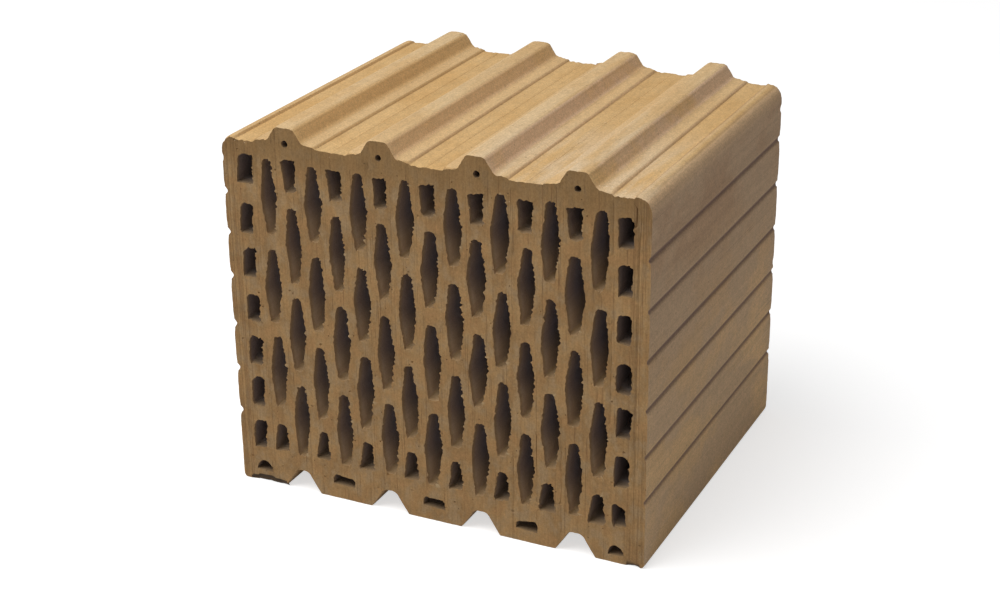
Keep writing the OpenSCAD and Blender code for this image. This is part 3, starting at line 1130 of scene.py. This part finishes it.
def skin_material():
    """Matt extruded skin: sandy grain, faint bands along the block, paler tongues, greyer sides, and painted light and
    shade on the sides, grooves, rounded edges, steps and flanks.
    """
    g = Graph("fired_clay_skin")
    facing = g.facing()
    x, y, z = g.split(g.place)
    band = g.noise((7, 420, 7))
    fine = g.noise((0.9, 160, 0.9), 2)
    blotch = g.noise((45, 70, 45), 4)
    mottle = g.noise((4.5, 5.5, 4.5), 5, 0.65)
    grain = g.noise((1.1, 1.2, 1.1), 3, 0.7)
    outward = g.math("ABSOLUTE", x)
    sideways = g.most(g.ramp(g.math("ABSOLUTE", facing[0]), 0.62, 0.97), g.zone(outward, 141.5, 147))
    on_side = g.times(sideways, g.zone(z, 250.5, 242.5))
    # Painted sheen: the rounded edges at the top of the sides are paler
    round_edge = g.times(g.zone(outward, 142, 146.5), g.zone(z, 238.5, 244), g.zone(z, 251.8, 249.5))
    colour = g.coats(
        SAND,
        (PALE_SAND, g.ramp(blotch, 0.35, 0.65)),
        (side_colour(g, x, y, z, blotch), on_side),
        (EDGE_SHEEN, round_edge, 0.75),
        *top_coats(g, facing, x, y, z, blotch),
    )
    colour = g.tones(colour, (band, 0.05), (fine, 0.04), (mottle, 0.08), (grain, 0.20))
    pinholes = g.dots(9, 0.55, 0.8)
    specks = g.dots(11, 0.5, 0.25)
    from_spot = g.add("VectorMath", {0: g.place, 1: CRUMB_SPOT}, operation="DISTANCE").outputs["Value"]
    crumbs = g.times(g.dots(2.6, 0.6, 0.55), g.zone(from_spot, 13, 4))
    colour = g.coats(colour, (PINHOLE_DARK, pinholes, 0.7), (SPECK_PALE, specks, 0.6), (CRUMB_PALE, crumbs, 0.8))
    layers = (band, 0.20), (fine, 0.05), (mottle, 0.22), (grain, 0.16), (pinholes, -0.4)
    return g.finish(colour, g.ramp(mottle, 0.3, 0.7, 0.78, 0.90), *layers)


def cut_material():
    """Rough wire-cut face: faint drag lines from top to bottom, blotches, dark pits and pale specks."""
    g = Graph("fired_clay_cut")
    x, _, z = g.split(g.place)
    drag = g.noise((1.8, 4, 70))
    fine = g.noise((0.6, 2, 7))
    blotch = g.noise((20, 20, 26), 5, 0.65)
    hue = g.noise((9, 9, 12), 4, 0.6)
    grain = g.noise((1.3, 1.3, 1.5), 5, 0.8)
    colour = g.coats(
        CUT_BROWN,
        (CUT_SAND, g.ramp(blotch, 0.38, 0.62)),
        (CUT_GREY, g.ramp(hue, 0.45, 0.68, 0.0, 0.75)),
        (CUT_RED, g.ramp(hue, 0.52, 0.32, 0.0, 0.70)),
        (CUT_TOP, g.zone(z, 222, 248, 0.0, 0.65)),
    )
    colour = g.tones(colour, (drag, 0.06), (fine, 0.05), (grain, 0.22))
    short_lines = g.ramp(g.noise((0.9, 3, 45), 2), 0.66, 0.74)
    long_lines = g.ramp(g.noise((0.7, 3, 150), 1), 0.70, 0.76)
    outward = g.math("ABSOLUTE", x)
    beside_edge = g.times(g.zone(outward, 136, 138.5), g.zone(outward, 149.6, 148))
    comb = g.times(g.ramp(g.noise((0.8, 3, 130), 2), 0.52, 0.62), beside_edge)
    lines = g.most(g.most(short_lines, long_lines), g.times(comb, 0.8))
    pits, specks = g.dots(5.5, 0.5, 0.30), g.dots(7, 0.45, 0.22)
    colour = g.coats(colour, (CUT_LINE, lines, 0.45), (CUT_PIT, pits, 0.75), (CUT_SPECK, specks, 0.6))
    return g.finish(colour, CLAY_ROUGH, (drag, 0.28), (fine, 0.12), (grain, 0.35), (lines, -0.2), (pits, -0.5))


def bore_material():
    """Walls of the perforations: clay like the cut face at the mouth, with painted light and shade further in: lighter
    and greyer deep in, lighter on the lower walls and the floors, darker in holes that get little light.
    """
    g = Graph("fired_clay_bore")
    y = g.split(g.place)[1]
    streak = g.noise((2.2, 60, 2.2))
    grain = g.noise((1.2, 1.6, 1.2), 4, 0.65)
    inset = g.math("SUBTRACT", cad_box[1][1], g.math("ABSOLUTE", y))
    on_floor = g.ramp(g.facing()[2], 0.2, 0.8)
    foot = g.ramp(g.painted("foot"), 0.50, 0.85)
    hole_shade = g.painted("hole_shade")
    # Painted light and shade on the walls: lighter and greyer deeper in, darker where a hole gets little light,
    # lighter low on the wall near the mouth
    wall = g.coats(
        WALL_MOUTH,
        (WALL_NEAR, g.zone(inset, 1, 7)),
        (WALL_DEEP, g.zone(inset, 7, 20)),
        (WALL_SHADED, hole_shade, g.zone(inset, 0, 4), 0.7),
        (WALL_FOOT, foot, g.zone(inset, 0, 5), g.ramp(hole_shade, 0.0, 1.0, 0.58, 0.06)),
    )
    # Painted light and shade on the floors: darker at the mouth, lighter further in, darker in holes that get little
    # light
    open_floor = g.coats(FLOOR_MOUTH, (FLOOR_NEAR, g.zone(inset, 1, 9)))
    shaded_floor = g.coats(SHADED_FLOOR_MOUTH, (SHADED_FLOOR_NEAR, g.zone(inset, 1, 4)), (SHADED_FLOOR_DEEP, g.zone(inset, 5, 11)))
    colour = g.coats(wall, (g.coats(open_floor, (shaded_floor, hole_shade)), on_floor))
    colour = g.tones(colour, (streak, 0.04), (grain, 0.08))
    return g.finish(colour, CLAY_ROUGH, (streak, 0.12), (grain, 0.3))


# ---- Floor, light and camera ----

def make_floor():
    """Pale floor that the camera sees as white, with the block's shadow on it."""
    corners = [(FLOOR_HALF * x, FLOOR_HALF * y, 0.0) for x, y in ((-1, -1), (1, -1), (1, 1), (-1, 1))]
    mesh = bpy.data.meshes.new("floor")
    mesh.from_pydata(corners, [], [(0, 1, 2, 3)])
    floor = new_object("floor", mesh)
    g = Graph("floor_pale")
    g.feed(g.shader, {"Base Color": (FLOOR_GREY,) * 3, "Roughness": 1.0, "Specular IOR Level": 0.0})
    seen = g.add("LightPath").outputs
    straight = g.most(seen["Is Camera Ray"], g.most(seen["Is Glossy Ray"], seen["Is Transmission Ray"]))
    glow = g.add("Emission", {"Strength": g.times(straight, FLOOR_GLOW)})
    both = g.add("AddShader", {0: g.shader.outputs[0], 1: glow.outputs[0]})
    g.feed(g.tree.nodes["Material Output"], {"Surface": both.outputs[0]})
    mesh.materials.append(g.material)
    return floor


def make_light():
    """A large soft lamp above the block, in front of it and to its left, in an even pale room."""
    world = bpy.data.worlds.new("room")
    world.use_nodes = True
    background = world.node_tree.nodes["Background"]
    background.inputs["Color"].default_value = (1.0, 1.0, 1.0, 1.0)
    background.inputs["Strength"].default_value = ROOM_GLOW
    bpy.context.scene.world = world
    lamp = bpy.data.lights.new("key", "AREA")
    lamp.shape = "DISK"
    lamp.size = LAMP_SIZE
    lamp.energy = LAMP_WATTS
    key = new_object("key", lamp)
    key.location = LAMP_PLACE
    key.rotation_mode = "QUATERNION"
    key.rotation_quaternion = (Vector(LAMP_AIM) - Vector(LAMP_PLACE)).to_track_quat("-Z", "Y")


def make_camera():
    """The photograph's camera: its place, what it looks at, its lens and its slight roll."""
    data = bpy.data.cameras.new("camera")
    data.sensor_fit = "HORIZONTAL"
    data.sensor_width = CAMERA_SENSOR
    data.lens = CAMERA_LENS
    data.clip_end = CAMERA_FAR
    camera = new_object("camera", data)
    forward = Vector(CAMERA_FORWARD).normalized()
    right = forward.cross(Vector(CAMERA_UP)).normalized()
    turn = Matrix((right, right.cross(forward), -forward)).transposed().to_4x4()
    camera.matrix_world = Matrix.Translation(CAMERA_PLACE) @ turn
    bpy.context.scene.camera = camera


brick = build_brick()
for material in (skin_material(), cut_material(), bore_material()):
    brick.data.materials.append(material)
floor = make_floor()
make_light()
make_camera()
bpy.context.scene.view_settings.view_transform = "Standard"

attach(brick, "root")
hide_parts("brick")
